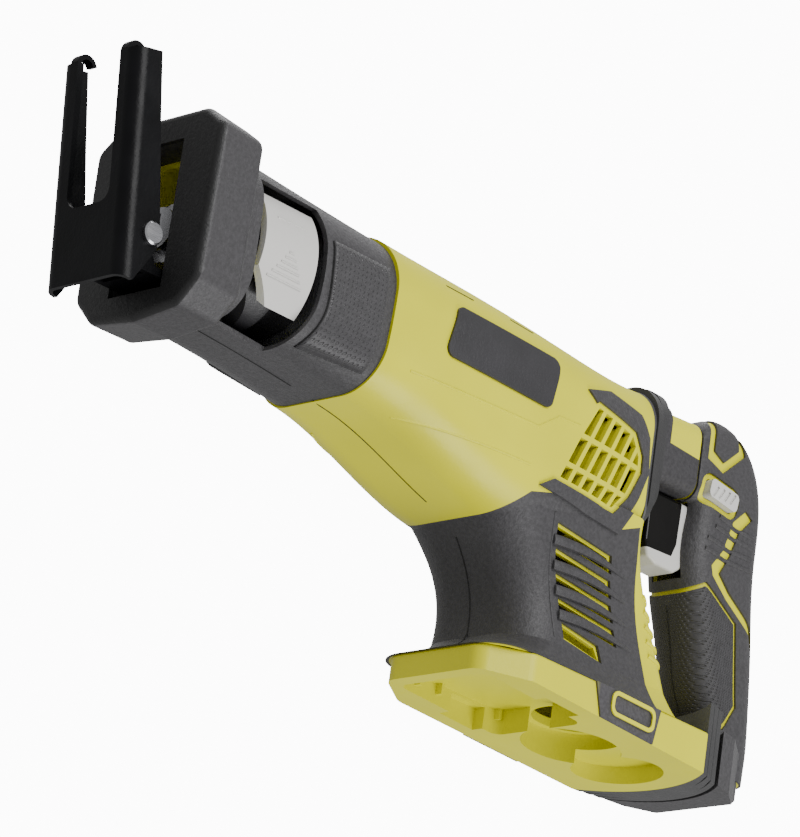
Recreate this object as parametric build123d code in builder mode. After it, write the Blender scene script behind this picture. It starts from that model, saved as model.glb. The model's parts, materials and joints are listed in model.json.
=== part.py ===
from build123d import *
import math
import os

os.makedirs("parts", exist_ok=True)

# Cordless reciprocating saw without its battery, in millimetres.
# The blade end points to -X, the user's left is -Y and +Z is up.  The origin is the middle
# of the bounding box in plan, at the lowest point.  Heights in the sections below are
# measured from the barrel's axis, which runs along X.

# Driving dimensions
AXIS_Z = 143.6          # barrel axis above the lowest point
NOSE_X = -183.0         # front face of the nose guard
GUARD_DEPTH = 26.0
BOOT_FRONT_X = -166.0
SHELL_REAR_X = 100.0
WALL = 3.0              # housing wall
SKIN = 1.6              # soft overmould
STROKE = 22.0           # blade stroke
LOCK_TRAVEL = 4.0
GEAR_TEETH = 40
PINION_TEETH = 13
BASE_TOP = -123.0       # top of the battery base's rim
BASE_FRONT_X = 19.0
BASE_FRONT_BOTTOM = -134.8
BASE_TILT = 3.0         # underside of the base, degrees

ORIGIN_X = 2.16         # moves the nose-based lengths so that the box is centred

GEAR_X = -40.0
CRANK_RADIUS = STROKE / 2
RUNNING = 0.05          # radial clearance of shafts in bores


def side_plane(y=0.0):
    """Plane seen from the tool's left: local x rearwards, local y up from the axis."""
    return Plane(origin=(ORIGIN_X, y, AXIS_Z), x_dir=(1, 0, 0), z_dir=(0, -1, 0))


def cross_plane(x):
    """Plane across the barrel: local x to the tool's right, local y up from the axis."""
    return Plane(origin=(x + ORIGIN_X, 0, AXIS_Z), x_dir=(0, 1, 0), z_dir=(1, 0, 0))


def level_plane(z):
    """Horizontal plane at a height from the axis."""
    return Plane(origin=(ORIGIN_X, 0, AXIS_Z + z))


def publish(builder, name):
    builder.part.label = name
    export_step(builder.part, f"parts/{name}.step")


def publish_halves(builder, name):
    """Cut a whole along the middle plane and write its left and right half."""
    for side, keep in (("left", Keep.TOP), ("right", Keep.BOTTOM)):
        with BuildPart() as half:
            add(builder.part)
            split(bisect_by=Plane.XZ, keep=keep)
        publish(half, f"{name}_{side}")


def publish_pair(builder, name):
    """Write a piece of the left side with its mirror image, as two solids of one node."""
    with BuildPart() as both:
        add(builder.part)
        mirror(about=Plane.XZ)
    publish(both, name)


def barrel_section(x, half_width, top, bottom, top_radius, bottom_radius):
    """Outline across the barrel: flat sides with rounded upper and lower corners."""
    with BuildSketch(cross_plane(x)) as outline:
        with Locations((0, (top + bottom) / 2)):
            Rectangle(2 * half_width, top - bottom)
        fillet(outline.vertices().group_by(Axis.Y)[-1], top_radius)
        fillet(outline.vertices().group_by(Axis.Y)[0], bottom_radius)
    return outline.sketch


def barrel_loft(stations, inset=0.0, mode=Mode.ADD, ruled=False):
    sections = []
    for x, half_width, top, bottom, top_radius, bottom_radius in stations:
        sections.append(barrel_section(x, half_width - inset, top - inset, bottom + inset,
                                       top_radius - inset, bottom_radius - inset))
    loft(sections, ruled=ruled, mode=mode)


def neck_section(z, front, rear, half_width, front_radius, rear_radius):
    """Outline around the neck at a height: front corners round, rear corners tighter."""
    with BuildSketch(level_plane(z)) as outline:
        with Locations(((front + rear) / 2, 0)):
            Rectangle(rear - front, 2 * half_width)
        fillet(outline.vertices().group_by(Axis.X)[0], front_radius)
        fillet(outline.vertices().group_by(Axis.X)[-1], rear_radius)
    return outline.sketch


def neck_loft(stations, inset=0.0, mode=Mode.ADD):
    sections = []
    for z, front, rear, half_width, front_radius, rear_radius in stations:
        sections.append(neck_section(z, front + inset, rear - inset, half_width - inset,
                                     front_radius - inset, rear_radius - inset))
    loft(sections, mode=mode)


def side_prism(points, y, depth, mode=Mode.ADD):
    """Extrude a polygon of the side view from y towards the left by depth."""
    with BuildSketch(side_plane(y)) as outline:
        with BuildLine():
            Polyline(*points, close=True)
        make_face()
    extrude(outline.sketch, amount=depth, mode=mode)


# Stations of the barrel: x, half width, top, bottom, upper and lower corner radius
SHELL_STATIONS = [
    (-92, 37.6, 36.6, -40.5, 29, 21),
    (-55, 39.2, 33.8, -43.5, 30, 22),
    (-6, 41.6, 30.6, -58.5, 30, 24),
    (42, 42.6, 26.8, -65.0, 30, 24),
    (72, 42.2, 24.4, -58.0, 29, 22),
    (SHELL_REAR_X, 38.0, 24.0, -50.0, 22, 18),
]
BOOT_STATIONS = [
    (BOOT_FRONT_X, 34.4, 41.0, -33.6, 27, 18),
    (-120, 35.4, 37.8, -36.0, 29, 20),
    (-44, 37.6, 32.5, -44.0, 30, 21),
]
GEARBOX_STATIONS = [
    (-106, 27.0, 25.0, -30.0, 16, 15),
    (-96, 31.0, 26.0, -33.0, 18, 17),
    (-6, 32.0, 25.0, -34.0, 18, 17),
]
REAR_STATIONS = [
    (SHELL_REAR_X, 38.0, 24.0, -50.0, 22, 14),
    (112, 31.0, 27.0, -34.0, 16, 12),
    (121, 23.5, 28.5, -12.0, 10, 8),
]
REAR_LIPS = [(103, 37.4, 27.0, -42, 20, 13), (109.5, 33.4, 28.6, -34, 17, 12),
             (116, 28.0, 29.8, -20, 13, 9)]
REAR_LIP_WIDTH = 3.4
# Stations of the neck: z, front, rear, half width, front and rear corner radius
NECK_STATIONS = [
    (-42, 2, 103, 41.0, 26, 9),
    (-54, 9, 106, 38.0, 25, 9),
    (-70, 23, 116, 33.5, 22, 9),
    (-92, 36, 129, 32.0, 20, 9),
    (-112, 38, 137, 34.0, 20, 9),
]
SKIRT_STATIONS = [
    (-112, 38, 137, 34.0, 20, 9),
    (-117.5, 32, 139, 36.5, 20, 9),
    (BASE_TOP, 18, 141, 40.0, 19, 9),
]
NECK_WALL = SKIN + 2.4
# Side view of the vent, whose slant leans to the rear
VENT = [(33, -44.5), (57, 0), (85, -5), (92, -14), (92.5, -22), (85, -36), (77, -46.5)]
VENT_FRAME = [(50, 3), (66, 8), (88, 4.5), (96, -4), (98.5, -20), (90, -40), (84, -53.5),
              (28, -49.5), (39, -42), (62, -6)]
# Line between the soft neck skin and the bare rear strip: top and bottom
STRIP_TOP = (97, -46)
STRIP_BOTTOM = (119, -112)
STRIP_FOOT = (122, BASE_TOP)
# Rubber block in the barrel's rear end, which carries the handle's tongue
ISOLATOR_Z = 11.0
ISOLATOR_SIDE = 22.0
# Louvred panel of the neck
LOUVRE_COUNT = 5
LOUVRE_PITCH = 10.4
LOUVRE_TOP = -60.5
LOUVRE_HEIGHT = 5.0
LOUVRE_DROP = 3.4       # from the front to the rear end of a slot

# Case screws on the right: x, height and distance of the head's face from the middle
SCREW_PLACES = [(-50, 4, 39.0), (-40, -22, 39.3), (38, 0, 42.1), (14, -30, 41.7)]
SCREW_HEAD = 1.4        # thickness of a head
SCREW_SHANK = 5.4
HEAD_RADIUS = 3.4
SHANK_RADIUS = 1.8

# ---------------------------------------------------------------- barrel shells
with BuildPart() as barrel_cut:
    # everything behind the bowed joint with the boot
    with BuildSketch(side_plane(60)):
        with BuildLine():
            ThreePointArc((-74, 60), (-70, -10), (-77, -60))
            Polyline((-77, -60), (-77, -90), (160, -90), (160, 60), (-74, 60))
        make_face()
    extrude(amount=120)

with BuildPart() as lever_window:
    # side window for the blade lever, cut through the left side only
    with BuildSketch(side_plane(-12)):
        with BuildLine():
            Polyline((-150, 27), (-150, -42), (-121, -42))
            ThreePointArc((-121, -42), (-111, -8), (-115, 27))
            Line((-115, 27), (-150, 27))
        make_face()
    extrude(amount=40)

with BuildPart() as boot:
    barrel_loft(BOOT_STATIONS)
    barrel_loft(BOOT_STATIONS, inset=2.4, mode=Mode.SUBTRACT)
    add(barrel_cut.part, mode=Mode.SUBTRACT)
    add(lever_window.part, mode=Mode.SUBTRACT)
publish_halves(boot, "front_boot")


def body_solid(inset):
    """Barrel, neck and skirt as one solid, shrunk by inset."""
    with BuildPart() as solid:
        barrel_loft(SHELL_STATIONS, inset)
        neck_loft(NECK_STATIONS, inset)
        neck_loft(SKIRT_STATIONS, inset)
    return solid.part


outer_body = body_solid(0)
skin_body = body_solid(SKIN)
inner_body = body_solid(NECK_WALL)

with BuildPart() as neck_zone:
    # region of the neck, below the edge of the soft skin
    side_prism([(4, -90), (14, -67.5), (26, -53), (42, -49), (80, -53), STRIP_TOP,
                (106, -46), (150, -46), (150, -150), (4, -150)], 60, 120)

with BuildPart() as strip_zone:
    # bare strip of housing at the rear of the neck
    side_prism([STRIP_TOP, STRIP_BOTTOM, STRIP_FOOT, (150, BASE_TOP), (150, -46)], 60, 120)

with BuildPart() as vent_prism:
    side_prism(VENT, 60, 120)

with BuildPart() as barrel_inner:
    barrel_loft(SHELL_STATIONS, WALL)

with BuildPart() as shell:
    add(outer_body)
    add(inner_body, mode=Mode.SUBTRACT)
    add(barrel_inner.part, mode=Mode.SUBTRACT)
    add(barrel_cut.part, mode=Mode.INTERSECT)
    add(neck_zone.part, mode=Mode.SUBTRACT)
    add(vent_prism.part, mode=Mode.SUBTRACT)
    for x, z, head_y in SCREW_PLACES:
        # recessed screw seats on the right
        with BuildSketch(side_plane(60)) as seat:
            with Locations((x, z)):
                Circle(HEAD_RADIUS + 0.3)
        extrude(seat.sketch, amount=60 - head_y + SCREW_HEAD, mode=Mode.SUBTRACT)
        with BuildSketch(side_plane(60)) as shank_hole:
            with Locations((x, z)):
                Circle(SHANK_RADIUS + RUNNING)
        extrude(shank_hole.sketch, amount=40, mode=Mode.SUBTRACT)
publish_halves(shell, "motor_housing")


def louvre_slot(index, grow):
    """Corners of one slanted slot of the neck, grown by a margin."""
    top = LOUVRE_TOP - index * LOUVRE_PITCH
    left = 49.5 + 3.4 * index
    right = left + (22 if index == LOUVRE_COUNT - 1 else 35)
    return [(left - grow, top + grow), (right + grow, top - LOUVRE_DROP + grow),
            (right + 3 + grow, top - LOUVRE_DROP - LOUVRE_HEIGHT - grow),
            (left + 2 - grow, top - LOUVRE_HEIGHT - grow)]


with BuildPart() as core:
    add(outer_body)
    add(inner_body, mode=Mode.SUBTRACT)
    add(barrel_inner.part, mode=Mode.SUBTRACT)
    add(neck_zone.part, mode=Mode.INTERSECT)
    with BuildPart(mode=Mode.PRIVATE) as skin_layer:
        add(outer_body)
        add(skin_body, mode=Mode.SUBTRACT)
        add(strip_zone.part, mode=Mode.SUBTRACT)
    add(skin_layer.part, mode=Mode.SUBTRACT)
    for index in range(LOUVRE_COUNT):
        side_prism(louvre_slot(index, 0), 60, 120, mode=Mode.SUBTRACT)
publish_halves(core, "neck_core")

with BuildPart() as neck_skin:
    add(outer_body)
    add(skin_body, mode=Mode.SUBTRACT)
    add(neck_zone.part, mode=Mode.INTERSECT)
    add(strip_zone.part, mode=Mode.SUBTRACT)
    for index in range(LOUVRE_COUNT):
        side_prism(louvre_slot(index, 1.3), 60, 120, mode=Mode.SUBTRACT)
publish_halves(neck_skin, "neck_skin")

# ---------------------------------------------------------------- trim of the barrel
with BuildPart() as grille:
    # slanted cells in three rows, cut through a piece of the barrel's side
    add(outer_body)
    add(barrel_inner.part, mode=Mode.SUBTRACT)
    add(vent_prism.part, mode=Mode.INTERSECT)
    with BuildSketch(side_plane(0)) as cells:
        with BuildLine():
            Polyline(*VENT, close=True)
        make_face()
        offset(amount=-2.6, kind=Kind.INTERSECTION)
        with BuildSketch(side_plane(0), mode=Mode.PRIVATE) as bars:
            for rail in range(2):
                with Locations((62, -19.5 - 16.0 * rail)):
                    Rectangle(90, 2.4, rotation=-2)
            for bar in range(10):
                with Locations((38 + 7.2 * bar, -26)):
                    Rectangle(2.2, 70, rotation=-24)
        add(bars.sketch_local, mode=Mode.SUBTRACT)
    extrude(cells.sketch, amount=60, mode=Mode.SUBTRACT)
    split(bisect_by=Plane.XZ, keep=Keep.TOP)
publish_pair(grille, "vent_grilles")

proud_body = body_solid(-1.2)
with BuildPart() as vent_frame:
    # proud band around the top, rear and foot of the grille
    add(proud_body)
    add(outer_body, mode=Mode.SUBTRACT)
    side_prism(VENT_FRAME, 0, 60, mode=Mode.INTERSECT)
    side_prism(VENT, 0, 60, mode=Mode.SUBTRACT)
    split(bisect_by=Plane((SHELL_REAR_X + ORIGIN_X, 0, 0), z_dir=(-1, 0, 0)), keep=Keep.TOP)
publish_pair(vent_frame, "vent_frames")

with BuildPart() as badge:
    # blank name plate on the barrel's side
    add(proud_body)
    add(outer_body, mode=Mode.SUBTRACT)
    with BuildSketch(side_plane(0)) as badge_outline:
        with BuildLine():
            Polyline((-34, 12), (31, 9.5), (27, -15), (-39, -12.5), close=True)
        make_face()
        fillet(badge_outline.vertices(), 4)
    extrude(badge_outline.sketch, amount=60, mode=Mode.INTERSECT)
publish_pair(badge, "badges")

with BuildPart() as rear_cover:
    # soft end of the barrel with three round lips
    barrel_loft(REAR_STATIONS)
    for station in REAR_LIPS:
        extrude(barrel_section(*station), amount=REAR_LIP_WIDTH)
    barrel_loft([(SHELL_REAR_X, 35.0, 21.0, -47.0, 19, 11), (110, 29.0, 24.0, -31.0, 13, 10),
                 (118, 21.5, 25.5, -9.0, 8, 6)], mode=Mode.SUBTRACT)
    add(outer_body, mode=Mode.SUBTRACT)
    with BuildSketch(cross_plane(106)):
        with Locations((0, ISOLATOR_Z)):
            Rectangle(ISOLATOR_SIDE, ISOLATOR_SIDE)
    extrude(amount=20, mode=Mode.SUBTRACT)
publish(rear_cover, "rear_cover")

# ---------------------------------------------------------------- nose
GUARD_FRONT = [(-39.3, 39), (-27, 48.4), (27, 48.4), (39.3, 39), (38, -30), (27, -41.5), (0, -44.6),
               (-27, -41.5), (-38, -30)]
GUARD_REAR = [(-38, 38), (-26, 46.4), (26, 46.4), (38, 38), (37.2, -31), (26, -41.5), (0, -44.0),
              (-26, -41.5), (-37.2, -31)]
OPENING_HALF = 16.0
OPENING_TOP = 35.3
OPENING_BOTTOM = -32.0
# Pocket in the back of the guard for the boot
SEAT_HALF = 35.0
SEAT_TOP = 41.6
SEAT_BOTTOM = -34.7


def guard_outline(x, points, radius):
    with BuildSketch(cross_plane(x)) as outline:
        with BuildLine():
            Polyline(*points, close=True)
        make_face()
        fillet(outline.vertices(), radius)
    return outline.sketch


with BuildPart() as guard:
    loft([guard_outline(NOSE_X, GUARD_FRONT, 7), guard_outline(NOSE_X + GUARD_DEPTH, GUARD_REAR, 7)])
    fillet(guard.faces().sort_by(Axis.X)[0].edges(), 3.5)
    fillet(guard.faces().sort_by(Axis.X)[-1].edges(), 2.5)
    with BuildSketch(cross_plane(NOSE_X)):
        with Locations((0, (OPENING_TOP + OPENING_BOTTOM) / 2)):
            Rectangle(2 * OPENING_HALF, OPENING_TOP - OPENING_BOTTOM)
    extrude(amount=GUARD_DEPTH, mode=Mode.SUBTRACT)
    with BuildSketch(cross_plane(BOOT_FRONT_X)) as boot_seat:
        with Locations((0, (SEAT_TOP + SEAT_BOTTOM) / 2)):
            Rectangle(2 * SEAT_HALF, SEAT_TOP - SEAT_BOTTOM)
        fillet(boot_seat.vertices().group_by(Axis.Y)[-1], 27.5)
        fillet(boot_seat.vertices().group_by(Axis.Y)[0], 18.5)
    extrude(amount=GUARD_DEPTH, mode=Mode.SUBTRACT)
publish(guard, "nose_guard")

with BuildPart() as liner:
    # inner nose of the housing, seen through the guard's opening
    barrel_loft([(BOOT_FRONT_X, 31.6, 38.2, -30.8, 24, 15), (-150, 31.8, 37.2, -31.2, 25, 15)])
    with BuildSketch(cross_plane(BOOT_FRONT_X)):
        with Locations((0, 2)):
            RectangleRounded(2 * OPENING_HALF + 2, 61, 5)
    extrude(amount=20, mode=Mode.SUBTRACT)
publish(liner, "nose_liner")

SLEEVE_OUTER = 23.6
with BuildPart() as sleeve:
    # front tube of the gearbox, round which the blade lever turns
    with BuildSketch(cross_plane(-150)):
        Circle(SLEEVE_OUTER)
        Circle(16.0, mode=Mode.SUBTRACT)
    extrude(amount=44)
    with BuildSketch(cross_plane(-150)):
        Circle(30.8)
        Circle(16.0, mode=Mode.SUBTRACT)
    extrude(amount=3)
publish(sleeve, "front_sleeve")

# ---------------------------------------------------------------- blade lever
LEVER_OUTER = 36.2


def sector(inner, outer, start, sweep):
    """Flat ring sector in a cross plane, angles from the tool's right side."""
    with BuildSketch() as outline:
        with BuildLine():
            first = CenterArc((0, 0), outer, start, sweep)
            last = CenterArc((0, 0), inner, start, sweep)
            Line(first @ 0, last @ 0)
            Line(first @ 1, last @ 1)
        make_face()
    return outline.sketch


with BuildPart() as lever:
    with BuildSketch(cross_plane(-147.4)):
        add(sector(32.6, LEVER_OUTER, 141, 81))
    extrude(amount=31)
    with BuildSketch(cross_plane(-140)):
        Circle(28.0)
        Circle(SLEEVE_OUTER + RUNNING, mode=Mode.SUBTRACT)
    extrude(amount=16)
    with BuildSketch(cross_plane(-140)):
        add(sector(27.5, 33.2, 160, 44))
    extrude(amount=16)
    # front lower corner is cut away at a slant, the rear edge is slightly bowed
    side_prism([(-149, -10), (-149, -30), (-128, -30)], 0, 60, mode=Mode.SUBTRACT)
publish(lever, "blade_lever")

# ---------------------------------------------------------------- shoe
SHOE_THICK = 2.2
SHOE_HALF = 24.0
PIVOT_X = -199.0
PIVOT_Z = -16.0
PIN_RADIUS = 3.0
SHOE_SIDE = [(-222.5, 60), (-209, 62.5), (-203, 29), (-195, -12), (-195, -22), (-205, -38.5),
             (-212, -38)]
SHOE_INNER = [(-220.5, 75), (-180, 75), (-180, -45), (-209.5, -45)]

with BuildPart() as shoe:
    side_prism(SHOE_SIDE, SHOE_HALF, 2 * SHOE_HALF)
    front_edges = shoe.faces().sort_by(Axis.X)[0].edges().filter_by(Axis.Y, reverse=True)
    fillet(front_edges, 6.5)
    with BuildPart(mode=Mode.PRIVATE) as hollow:
        side_prism(SHOE_INNER, SHOE_HALF - SHOE_THICK, 2 * (SHOE_HALF - SHOE_THICK))
        hollow_edges = hollow.faces().sort_by(Axis.X)[0].edges().filter_by(Axis.Y, reverse=True)
        fillet(hollow_edges, 4.3)
    add(hollow.part, mode=Mode.SUBTRACT)
    with BuildSketch(cross_plane(-230)) as slot:
        with Locations((0, 45)):
            Rectangle(26, 100)
        fillet(slot.vertices().group_by(Axis.Y)[0], 6)
    extrude(amount=28, mode=Mode.SUBTRACT)
    with Locations(Plane(origin=(PIVOT_X + ORIGIN_X, SHOE_HALF, AXIS_Z + PIVOT_Z), z_dir=(0, 1, 0))):
        Hole(PIN_RADIUS, depth=2 * SHOE_HALF)
    for side in (-1, 1):
        with BuildSketch(side_plane(17.5 if side > 0 else -13.2)):
            with BuildLine():
                outer_arc = CenterArc((-217.0, 59.6), 5.6, 20, 155)
                inner_arc = CenterArc((-217.0, 59.6), 3.4, 20, 155)
                Line(outer_arc @ 0, inner_arc @ 0)
                Line(outer_arc @ 1, inner_arc @ 1)
            make_face()
        extrude(amount=4.3)
publish(shoe, "shoe")

with BuildPart() as shoe_pin:
    # riveted pin with a low head on each flange
    with BuildSketch(side_plane(SHOE_HALF)):
        with Locations((PIVOT_X, PIVOT_Z)):
            Circle(PIN_RADIUS)
    extrude(amount=2 * SHOE_HALF)
    for start, length in ((SHOE_HALF + 2.2, 2.2), (-SHOE_HALF, 2.2)):
        with BuildSketch(side_plane(start)):
            with Locations((PIVOT_X, PIVOT_Z)):
                Circle(5.0)
        extrude(amount=length)
    chamfer(shoe_pin.faces().sort_by(Axis.Y)[0].edges(), 0.7)
    chamfer(shoe_pin.faces().sort_by(Axis.Y)[-1].edges(), 0.7)
publish(shoe_pin, "shoe_pin")

with BuildPart() as bracket:
    # steel tongue from the gearbox, with two ears that carry the shoe's pin
    with BuildSketch(cross_plane(-190)):
        with Locations((0, -26.9)):
            Rectangle(24, 2)
    extrude(amount=40)
    for y in (15.0, -12.0):
        side_prism([(-206, -16), (-203, -10.5), (-196, -10.5), (-186, -24), (-166, -24),
                    (-166, -27.9), (-196, -27.9), (-204, -22)], y, 3)
    with Locations(Plane(origin=(PIVOT_X + ORIGIN_X, 16, AXIS_Z + PIVOT_Z), z_dir=(0, 1, 0))):
        Hole(PIN_RADIUS + RUNNING, depth=40)
publish(bracket, "shoe_bracket")

# ---------------------------------------------------------------- gearbox
ROD_RADIUS = 6.5
BUSH_OUTER = 10.5
PINION_ROOT = 6.8
PINION_TIP = 9.0
GEAR_ROOT_Z = -9.4
GEAR_TIP_Z = -8.5
SHAFT_RADIUS = 2.5
MOTOR_FRONT = 12.0
CAN_OUTER = 20.4
CAN_INNER = 18.8


def axial_cylinder(x, length, radius, mode=Mode.ADD):
    """Cylinder on the barrel's axis from x rearwards."""
    with BuildSketch(cross_plane(x)) as outline:
        Circle(radius)
    extrude(outline.sketch, amount=length, mode=mode)


def axial_tube(x, length, outer, inner, mode=Mode.ADD):
    with BuildSketch(cross_plane(x)) as outline:
        Circle(outer)
        Circle(inner, mode=Mode.SUBTRACT)
    extrude(outline.sketch, amount=length, mode=mode)


with BuildPart() as gearbox:
    barrel_loft(GEARBOX_STATIONS, ruled=True)
    barrel_loft([(-93, 28.0, 22.0, -30.0, 15, 15), (-9, 29.0, 22.0, -31.0, 15, 15)],
                mode=Mode.SUBTRACT)
    extrude(barrel_section(-80, 28.8, 22.8, -30.6, 15, 15), amount=8)
    axial_cylinder(-106, 60, BUSH_OUTER, mode=Mode.SUBTRACT)
    axial_cylinder(-12, 10, 9.0, mode=Mode.SUBTRACT)
with BuildPart() as gear_casing:
    add(gearbox.part)
    split(bisect_by=level_plane(0), keep=Keep.BOTTOM)
publish(gear_casing, "gear_casing")
with BuildPart() as gear_cover:
    add(gearbox.part)
    split(bisect_by=level_plane(0), keep=Keep.TOP)
publish(gear_cover, "gear_cover")

for name, x, length in (("front_bush", -106, 13), ("rear_bush", -80, 8)):
    with BuildPart() as bush:
        axial_tube(x, length, BUSH_OUTER, ROD_RADIUS + RUNNING)
    publish(bush, name)

with BuildPart() as gear_post:
    # fixed post under the drive gear
    with BuildSketch(level_plane(-30.5)):
        with Locations((GEAR_X, 0)):
            Circle(9)
    extrude(amount=6.5)
    with BuildSketch(level_plane(-24)):
        with Locations((GEAR_X, 0)):
            Circle(4)
    extrude(amount=13.5)
publish(gear_post, "gear_post")

with BuildPart() as gear:
    with BuildSketch(level_plane(-23.5)):
        with Locations((GEAR_X, 0)):
            Circle(7.5)
    extrude(amount=7.5)
    with BuildSketch(level_plane(-16)):
        with Locations((GEAR_X, 0)):
            Circle(27.6)
    extrude(amount=GEAR_ROOT_Z + 16)
    with BuildSketch(level_plane(-23.5)):
        with Locations((GEAR_X, 0)):
            Circle(4 + RUNNING)
    extrude(amount=13.2, mode=Mode.SUBTRACT)
    with BuildSketch(level_plane(GEAR_ROOT_Z)):
        with Locations((GEAR_X, 0)):
            with PolarLocations(24, GEAR_TEETH, start_angle=180 / GEAR_TEETH):
                Rectangle(6.4, 1.1)
    extrude(amount=GEAR_TIP_Z - GEAR_ROOT_Z)
    with BuildSketch(level_plane(-16)):
        with Locations((GEAR_X, 0)):
            with PolarLocations(16, 6, start_angle=0):
                Circle(2.6)
    extrude(amount=8, mode=Mode.SUBTRACT)
publish(gear, "drive_gear")

with BuildPart() as crank_pin:
    with BuildSketch(level_plane(GEAR_ROOT_Z)):
        with Locations((GEAR_X, CRANK_RADIUS)):
            Circle(3)
    extrude(amount=2.5)
publish(crank_pin, "crank_pin")

YOKE_BOTTOM = -6.6
with BuildPart() as yoke:
    # slotted crosshead, open below for the crank pin
    with BuildSketch(level_plane(YOKE_BOTTOM)):
        with Locations((GEAR_X, 0)):
            RectangleRounded(17, 42, 3)
    extrude(amount=15)
    with BuildSketch(level_plane(YOKE_BOTTOM)):
        with Locations((GEAR_X, 0)):
            SlotOverall(34, 6.6, rotation=90)
    extrude(amount=6, mode=Mode.SUBTRACT)
publish(yoke, "yoke")

ROD_FRONT = -166.0
with BuildPart() as rod:
    axial_cylinder(ROD_FRONT, GEAR_X - 8.5 - ROD_FRONT, ROD_RADIUS)
publish(rod, "plunger_rod")

with BuildPart() as clamp:
    # blade holder screwed on the rod, with the blade's slot across its face
    axial_tube(-172, 22, 9.4, ROD_RADIUS)
    axial_cylinder(-176, 4, 9.4)
    axial_cylinder(-172, 6, 8.0)
    axial_tube(-153, 3, 12.6, ROD_RADIUS)
    with BuildSketch(cross_plane(-176)):
        Rectangle(1.7, 13)
    extrude(amount=9.8, mode=Mode.SUBTRACT)
publish(clamp, "blade_clamp")

with BuildPart() as collar:
    # knurled release collar round the blade holder
    axial_tube(-170, 16, 13.2, 9.4 + RUNNING)
    with BuildSketch(cross_plane(-170)):
        with PolarLocations(13.4, 18):
            Rectangle(1.2, 1.6)
    extrude(amount=16, mode=Mode.SUBTRACT)
publish(collar, "clamp_collar")

# ---------------------------------------------------------------- motor
with BuildPart() as pinion:
    axial_tube(-19.3, 7.6, PINION_ROOT, SHAFT_RADIUS)
    with BuildSketch(cross_plane(-19.3)):
        with PolarLocations((PINION_ROOT + PINION_TIP) / 2 - 0.1, PINION_TEETH, start_angle=-90):
            Rectangle(PINION_TIP - PINION_ROOT + 0.2, 1.0)
        Circle(SHAFT_RADIUS, mode=Mode.SUBTRACT)
    extrude(amount=6.6)
publish(pinion, "pinion")

with BuildPart() as armature_shaft:
    axial_cylinder(-19.3, 111, SHAFT_RADIUS)
publish(armature_shaft, "armature_shaft")

with BuildPart() as armature:
    with BuildSketch(cross_plane(30)):
        Circle(13.2)
        with PolarLocations(11.2, 12):
            Rectangle(5.2, 1.6, mode=Mode.SUBTRACT)
        Circle(SHAFT_RADIUS, mode=Mode.SUBTRACT)
    extrude(amount=34)
publish(armature, "armature_core")

with BuildPart() as windings:
    for start in (24, 64):
        axial_tube(start, 6, 12.0, SHAFT_RADIUS)
publish(windings, "armature_windings")

with BuildPart() as commutator:
    axial_tube(71, 9, 7.0, SHAFT_RADIUS)
    with BuildSketch(cross_plane(71)):
        with PolarLocations(7.0, 12):
            Rectangle(1.6, 0.5)
    extrude(amount=9, mode=Mode.SUBTRACT)
publish(commutator, "commutator")

with BuildPart() as fan:
    axial_tube(3, 9, 5.5, SHAFT_RADIUS)
    axial_tube(3, 1.6, 24.0, SHAFT_RADIUS)
    with BuildSketch(cross_plane(4)):
        with PolarLocations(15.0, 13):
            Rectangle(17.0, 1.4, rotation=12)
    extrude(amount=7)
publish(fan, "fan")

with BuildPart() as motor_can:
    axial_tube(MOTOR_FRONT + 4, 66, CAN_OUTER, CAN_INNER)
    axial_tube(MOTOR_FRONT + 4, 2, CAN_OUTER, 8.0)
    with BuildSketch(cross_plane(MOTOR_FRONT + 4)):
        with PolarLocations(14, 6):
            SlotOverall(7, 4)
    extrude(amount=2, mode=Mode.SUBTRACT)
publish(motor_can, "motor_can")

with BuildPart() as magnets:
    # two field magnets inside the can
    for start in (-65, 115):
        with BuildSketch(cross_plane(28)):
            add(sector(14.0, CAN_INNER, start, 130))
        extrude(amount=38)
publish(magnets, "field_magnets")

with BuildPart() as end_bell:
    axial_tube(82, 3, CAN_OUTER, 8.0)
    axial_tube(85, 6.5, 11.0, 8.0)
    with BuildSketch(cross_plane(82)):
        with PolarLocations(15.0, 4, start_angle=45):
            SlotOverall(10, 4, rotation=90)
    extrude(amount=3, mode=Mode.SUBTRACT)
publish(end_bell, "motor_end_bell")

with BuildPart() as brushes:
    # two carbon brushes in line with the commutator
    for side in (-1, 1):
        with BuildSketch(cross_plane(72.5)):
            with Locations((0, side * 12.3)):
                Rectangle(5, 10)
        extrude(amount=6)
publish(brushes, "carbon_brushes")

with BuildPart() as bearings:
    # front bearing in the gearbox and rear bearing in the end bell
    axial_tube(-9.5, 3.4, 8.9, SHAFT_RADIUS + RUNNING)
    axial_tube(85.2, 5, 7.9, SHAFT_RADIUS + RUNNING)
publish(bearings, "motor_bearings")

# ---------------------------------------------------------------- battery base
PLAN_REAR = 170.0
REAR_BULGE = 12.0
with BuildPart() as under_base:
    # everything above the slanted underside
    with BuildSketch(Plane(origin=(BASE_FRONT_X + ORIGIN_X, 0, AXIS_Z + BASE_FRONT_BOTTOM),
                           z_dir=(math.sin(math.radians(BASE_TILT)), 0,
                                  math.cos(math.radians(BASE_TILT))))):
        with Locations((90, 0)):
            Rectangle(260, 120)
    extrude(amount=40)


def base_plan(inset):
    """Outline of the base in plan: blunt front, straight sides and a bowed rear."""
    half = 41.0 - inset
    with BuildSketch(level_plane(BASE_TOP)) as outline:
        with BuildLine():
            Polyline((158, -39.6 + inset), (41, -half), (BASE_FRONT_X + inset, -27 + inset / 2),
                     (BASE_FRONT_X + inset, 27 - inset / 2), (41, half), (158, 39.6 - inset))
            ThreePointArc((158, 39.6 - inset), (PLAN_REAR - inset, 0), (158, -39.6 + inset))
        make_face()
        fillet(outline.vertices().sort_by(Axis.X)[:4], 9)
    return outline.sketch


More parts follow.
